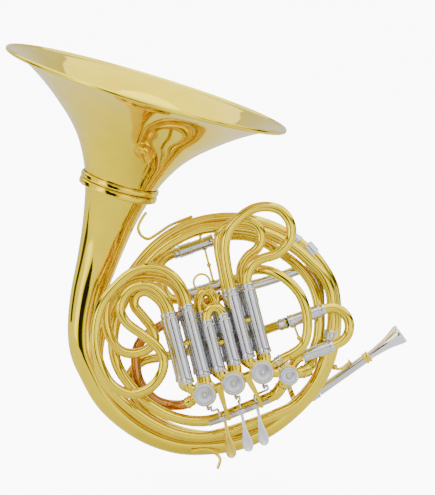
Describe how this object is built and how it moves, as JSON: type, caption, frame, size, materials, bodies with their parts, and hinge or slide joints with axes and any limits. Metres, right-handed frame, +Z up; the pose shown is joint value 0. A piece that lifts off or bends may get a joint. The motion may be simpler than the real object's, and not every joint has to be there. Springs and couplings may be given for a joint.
{
  "type": "french horn",
  "caption": "Coiled brass wind instrument with a wide screw-on bell, rotary valves worked by finger levers, pull-out tuning slides and a funnel mouthpiece.",
  "frame": {"origin": "middle of the coil, where the player's left hand holds the horn", "axes": "+Z up past the bell, +X towards the mouthpiece, +Y from the valve caps through to the side away from them"},
  "size_m": [0.4265, 0.302, 0.4605],
  "materials": {
    "lacquered_brass": "clear-lacquered yellow brass, mirror polished",
    "rose_brass": "lacquered rose brass, polished",
    "nickel_silver": "polished nickel silver",
    "silver_plate": "polished silver plate",
    "steel": "fine-turned steel"
  },
  "bodies": {
    "horn_body": {"body_ring": "lacquered_brass", "bell_tail": "lacquered_brass", "first_branch": "lacquered_brass", "tail_ferrule": "nickel_silver", "second_branch": "lacquered_brass", "leadpipe": "lacquered_brass", "mouthpiece_receiver": "nickel_silver", "f_extension_tube": "lacquered_brass", "f_inlet_tube": "lacquered_brass", "return_tube_lower": "rose_brass", "return_tube_upper": "nickel_silver", "valve_3_f_sleeves": "nickel_silver", "valve_3_bb_sleeves": "nickel_silver", "valve_2_f_sleeves": "nickel_silver", "valve_2_bb_sleeves": "nickel_silver", "valve_1_f_sleeves": "nickel_silver", "valve_1_bb_sleeves": "nickel_silver", "main_slide_sleeves": "nickel_silver", "f_slide_sleeves": "nickel_silver", "valve_3_casing": "lacquered_brass", "valve_3_cap": "nickel_silver", "valve_2_casing": "lacquered_brass", "valve_2_cap": "nickel_silver", "valve_1_casing": "lacquered_brass", "valve_1_cap": "nickel_silver", "thumb_valve_casing": "lacquered_brass", "thumb_valve_cap": "nickel_silver", "lever_frame": "nickel_silver", "thumb_lever_bracket": "lacquered_brass", "finger_hook": "lacquered_brass", "hand_hook": "lacquered_brass", "leadpipe_brace": "lacquered_brass", "coil_brace": "lacquered_brass"},
    "flare_ring": {"flare_ring": "lacquered_brass"},
    "flare": {"bell_flare": "lacquered_brass"},
    "mouthpiece": {"mouthpiece": "silver_plate"},
    "main_slide": {"main_slide_crook": "lacquered_brass"},
    "f_slide": {"f_slide_crook": "lacquered_brass"},
    "valve_3_f_slide": {"valve_3_f_crook": "lacquered_brass"},
    "valve_3_bb_slide": {"valve_3_bb_crook": "lacquered_brass"},
    "valve_2_f_slide": {"valve_2_f_crook": "lacquered_brass"},
    "valve_2_bb_slide": {"valve_2_bb_crook": "lacquered_brass"},
    "valve_1_f_slide": {"valve_1_f_crook": "lacquered_brass"},
    "valve_1_bb_slide": {"valve_1_bb_crook": "lacquered_brass"},
    "lever_3": {"lever_3": "lacquered_brass"},
    "link_3": {"link_rod_3": "steel"},
    "rotor_3": {"valve_3_rotor": "lacquered_brass", "valve_3_stop_arm": "steel"},
    "lever_2": {"lever_2": "silver_plate"},
    "link_2": {"link_rod_2": "steel"},
    "rotor_2": {"valve_2_rotor": "lacquered_brass", "valve_2_stop_arm": "steel"},
    "lever_1": {"lever_1": "silver_plate"},
    "link_1": {"link_rod_1": "steel"},
    "rotor_1": {"valve_1_rotor": "lacquered_brass", "valve_1_stop_arm": "steel"},
    "thumb_lever": {"thumb_lever": "silver_plate"},
    "thumb_link": {"thumb_link_rod": "steel"},
    "thumb_rotor": {"thumb_valve_rotor": "lacquered_brass", "thumb_valve_stop_arm": "steel"}
  },
  "joints": [
    {"name": "bell_screw_lift", "type": "slide", "parent": "horn_body", "child": "flare_ring", "axis": [0.2911, -0.187, 0.9382], "range_m": [0, 0.0064]},
    {"name": "bell_screw_turn", "type": "hinge", "parent": "flare_ring", "child": "flare", "pos_m": [-0.095, 0, 0.1405], "axis": [0.2911, -0.187, 0.9382], "range_deg": [0, 720]},
    {"name": "mouthpiece_pull", "type": "slide", "parent": "horn_body", "child": "mouthpiece", "axis": [0.8108, -0.059, 0.5823], "range_m": [0, 0.026]},
    {"name": "main_slide_pull", "type": "slide", "parent": "horn_body", "child": "main_slide", "axis": [0.9386, 0, 0.345], "range_m": [0, 0.022]},
    {"name": "f_slide_pull", "type": "slide", "parent": "horn_body", "child": "f_slide", "axis": [-0.9436, 0, -0.331], "range_m": [0, 0.028]},
    {"name": "valve_3_f_slide_pull", "type": "slide", "parent": "horn_body", "child": "valve_3_f_slide", "axis": [-0.247, 0, 0.969], "range_m": [0, 0.035]},
    {"name": "valve_3_bb_slide_pull", "type": "slide", "parent": "horn_body", "child": "valve_3_bb_slide", "axis": [-0.247, 0, 0.969], "range_m": [0, 0.035]},
    {"name": "valve_2_f_slide_pull", "type": "slide", "parent": "horn_body", "child": "valve_2_f_slide", "axis": [-0.247, 0, 0.969], "range_m": [0, 0.03]},
    {"name": "valve_2_bb_slide_pull", "type": "slide", "parent": "horn_body", "child": "valve_2_bb_slide", "axis": [-0.247, 0, 0.969], "range_m": [0, 0.035]},
    {"name": "valve_1_f_slide_pull", "type": "slide", "parent": "horn_body", "child": "valve_1_f_slide", "axis": [-0.247, 0, 0.969], "range_m": [0, 0.035]},
    {"name": "valve_1_bb_slide_pull", "type": "slide", "parent": "horn_body", "child": "valve_1_bb_slide", "axis": [-0.247, 0, 0.969], "range_m": [0, 0.035]},
    {"name": "lever_3_press", "type": "hinge", "parent": "horn_body", "child": "lever_3", "pos_m": [0.0103, -0.024, -0.10336], "axis": [0.9332, 0, 0.3593], "range_deg": [0, 14], "stiffness_Nm_per_rad": 0.25, "springref_deg": -17.19},
    {"name": "link_3_swing", "type": "hinge", "parent": "lever_3", "child": "link_3", "pos_m": [0.00214, 0.0145, -0.09386], "axis": [0.9332, 0, 0.3593], "range_deg": [-32, 2]},
    {"name": "rotor_3_turn", "type": "hinge", "parent": "horn_body", "child": "rotor_3", "pos_m": [-0.0012, 0, -0.0735], "axis": [0, 1, 0], "range_deg": [-1, 91.5]},
    {"name": "lever_2_press", "type": "hinge", "parent": "horn_body", "child": "lever_2", "pos_m": [0.04054, -0.024, -0.09172], "axis": [0.9332, 0, 0.3593], "range_deg": [0, 14], "stiffness_Nm_per_rad": 0.25, "springref_deg": -17.19},
    {"name": "link_2_swing", "type": "hinge", "parent": "lever_2", "child": "link_2", "pos_m": [0.03238, 0.0145, -0.08222], "axis": [0.9332, 0, 0.3593], "range_deg": [-32, 2]},
    {"name": "rotor_2_turn", "type": "hinge", "parent": "horn_body", "child": "rotor_2", "pos_m": [0.02904, 0, -0.06186], "axis": [0, 1, 0], "range_deg": [-1, 91.5]},
    {"name": "lever_1_press", "type": "hinge", "parent": "horn_body", "child": "lever_1", "pos_m": [0.07077, -0.024, -0.08008], "axis": [0.9332, 0, 0.3593], "range_deg": [0, 14], "stiffness_Nm_per_rad": 0.25, "springref_deg": -17.19},
    {"name": "link_1_swing", "type": "hinge", "parent": "lever_1", "child": "link_1", "pos_m": [0.06261, 0.0145, -0.07057], "axis": [0.9332, 0, 0.3593], "range_deg": [-32, 2]},
    {"name": "rotor_1_turn", "type": "hinge", "parent": "horn_body", "child": "rotor_1", "pos_m": [0.05927, 0, -0.05021], "axis": [0, 1, 0], "range_deg": [-1, 91.5]},
    {"name": "thumb_lever_press", "type": "hinge", "parent": "horn_body", "child": "thumb_lever", "pos_m": [0.08808, 0.0365, -0.06602], "axis": [-0.9332, 0, -0.3593], "range_deg": [0, 23.6], "stiffness_Nm_per_rad": 0.2, "springref_deg": -20.05},
    {"name": "thumb_link_swing", "type": "hinge", "parent": "thumb_lever", "child": "thumb_link", "pos_m": [0.08833, 0.0145, -0.07085], "axis": [-0.9332, 0, -0.3593], "range_deg": [-26, 2]},
    {"name": "thumb_rotor_turn", "type": "hinge", "parent": "horn_body", "child": "thumb_rotor", "pos_m": [0.08666, 0, -0.05371], "axis": [0, 1, 0], "range_deg": [-1, 91.5]}
  ],
  "couplings": [
    {"joint": "bell_screw_lift", "follows": "bell_screw_turn", "m_per_rad": 0.00047746},
    {"joint": "rotor_3_turn", "follows": "lever_3_press", "ratio": 6.4286},
    {"joint": "link_3_swing", "follows": "lever_3_press", "ratio": -2.034},
    {"joint": "rotor_2_turn", "follows": "lever_2_press", "ratio": 6.4286},
    {"joint": "link_2_swing", "follows": "lever_2_press", "ratio": -2.034},
    {"joint": "rotor_1_turn", "follows": "lever_1_press", "ratio": 6.4286},
    {"joint": "link_1_swing", "follows": "lever_1_press", "ratio": -2.034},
    {"joint": "thumb_rotor_turn", "follows": "thumb_lever_press", "ratio": 3.8136},
    {"joint": "thumb_link_swing", "follows": "thumb_lever_press", "ratio": -1}
  ]
}
